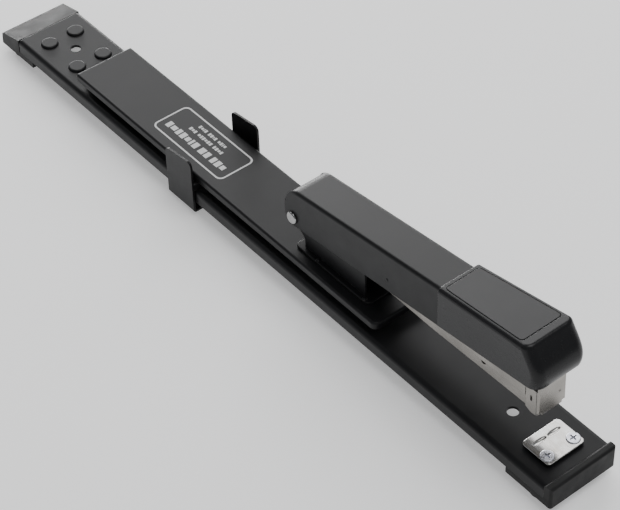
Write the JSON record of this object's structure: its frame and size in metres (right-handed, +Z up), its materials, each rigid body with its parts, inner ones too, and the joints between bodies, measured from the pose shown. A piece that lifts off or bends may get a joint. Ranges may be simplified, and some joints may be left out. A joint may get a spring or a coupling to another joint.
{
  "type": "long reach stapler",
  "caption": "Long reach desk stapler: narrow channel base with end caps, raised long arm, sliding paper guide, and a hinged magazine, cover and handle over a crimping anvil.",
  "frame": {"origin": "on the table, midway along the base between its end caps and midway between its sides", "axes": "+X along the base from the rear end cap towards the anvil, +Y to the left of a person who looks along +X, +Z up"},
  "size_m": [0.434, 0.0432, 0.0818],
  "materials": {
    "black_paint": "satin",
    "black_plastic": "matte",
    "gloss_black_plastic": "gloss",
    "black_rubber": "matte",
    "magazine_steel": "brushed",
    "spring_steel": "satin",
    "staple_wire": "bright",
    "dark_steel": "satin",
    "nickel_steel": "bright",
    "polished_steel": "polished",
    "zinc_steel": "satin"
  },
  "bodies": {
    "base": {"base_rail": "black_paint", "rear_end_cap": "black_plastic", "front_end_cap": "black_plastic", "rear_feet": "black_rubber", "front_feet": "black_rubber", "arm_riser": "black_paint", "riser_screws": "zinc_steel", "riser_washers": "zinc_steel", "long_arm": "black_paint", "pivot_bracket": "black_paint", "bracket_rivets": "black_paint", "pivot_pin": "nickel_steel", "anvil_spacer": "dark_steel", "anvil_plate": "polished_steel", "anvil_screws": "zinc_steel", "anvil_nuts": "zinc_steel", "lift_spring": "spring_steel"},
    "guide": {"paper_guide": "black_paint"},
    "magazine": {"magazine_channel": "magazine_steel", "nose_plate": "magazine_steel", "rod_anchor": "magazine_steel", "guide_rod": "spring_steel", "staple_strip": "staple_wire", "pusher_spring": "spring_steel"},
    "pusher": {"staple_pusher": "magazine_steel"},
    "cover": {"magazine_cover": "magazine_steel", "return_spring": "spring_steel"},
    "handle": {"handle_shell": "black_paint", "nose_cap": "gloss_black_plastic", "cap_panel": "gloss_black_plastic", "driver_blade": "spring_steel", "driver_holder": "dark_steel", "driver_rivets": "nickel_steel"}
  },
  "joints": [
    {"name": "guide_slide", "type": "slide", "parent": "base", "child": "guide", "axis": [1, 0, 0], "range_m": [-0.075, 0.215]},
    {"name": "magazine_hinge", "type": "hinge", "parent": "base", "child": "magazine", "pos_m": [0.028, 0, 0.0404], "axis": [0, 1, 0], "range_deg": [0, 6.7], "stiffness_Nm_per_rad": 1.6, "springref_deg": -16.04, "deforming": ["lift_spring"]},
    {"name": "pusher_slide", "type": "slide", "parent": "magazine", "child": "pusher", "axis": [0.9997, 0, 0.0227], "range_m": [-0.08, 0], "stiffness_N_per_m": 25, "springref_m": 0.12, "deforming": ["pusher_spring"]},
    {"name": "cover_hinge", "type": "hinge", "parent": "magazine", "child": "cover", "pos_m": [0.028, 0, 0.0404], "axis": [0, 1, 0], "range_deg": [-60, 0]},
    {"name": "handle_hinge", "type": "hinge", "parent": "cover", "child": "handle", "pos_m": [0.028, 0, 0.0404], "axis": [0, 1, 0], "range_deg": [0, 3.8], "stiffness_Nm_per_rad": 6, "springref_deg": -5.73, "deforming": ["return_spring"]}
  ]
}
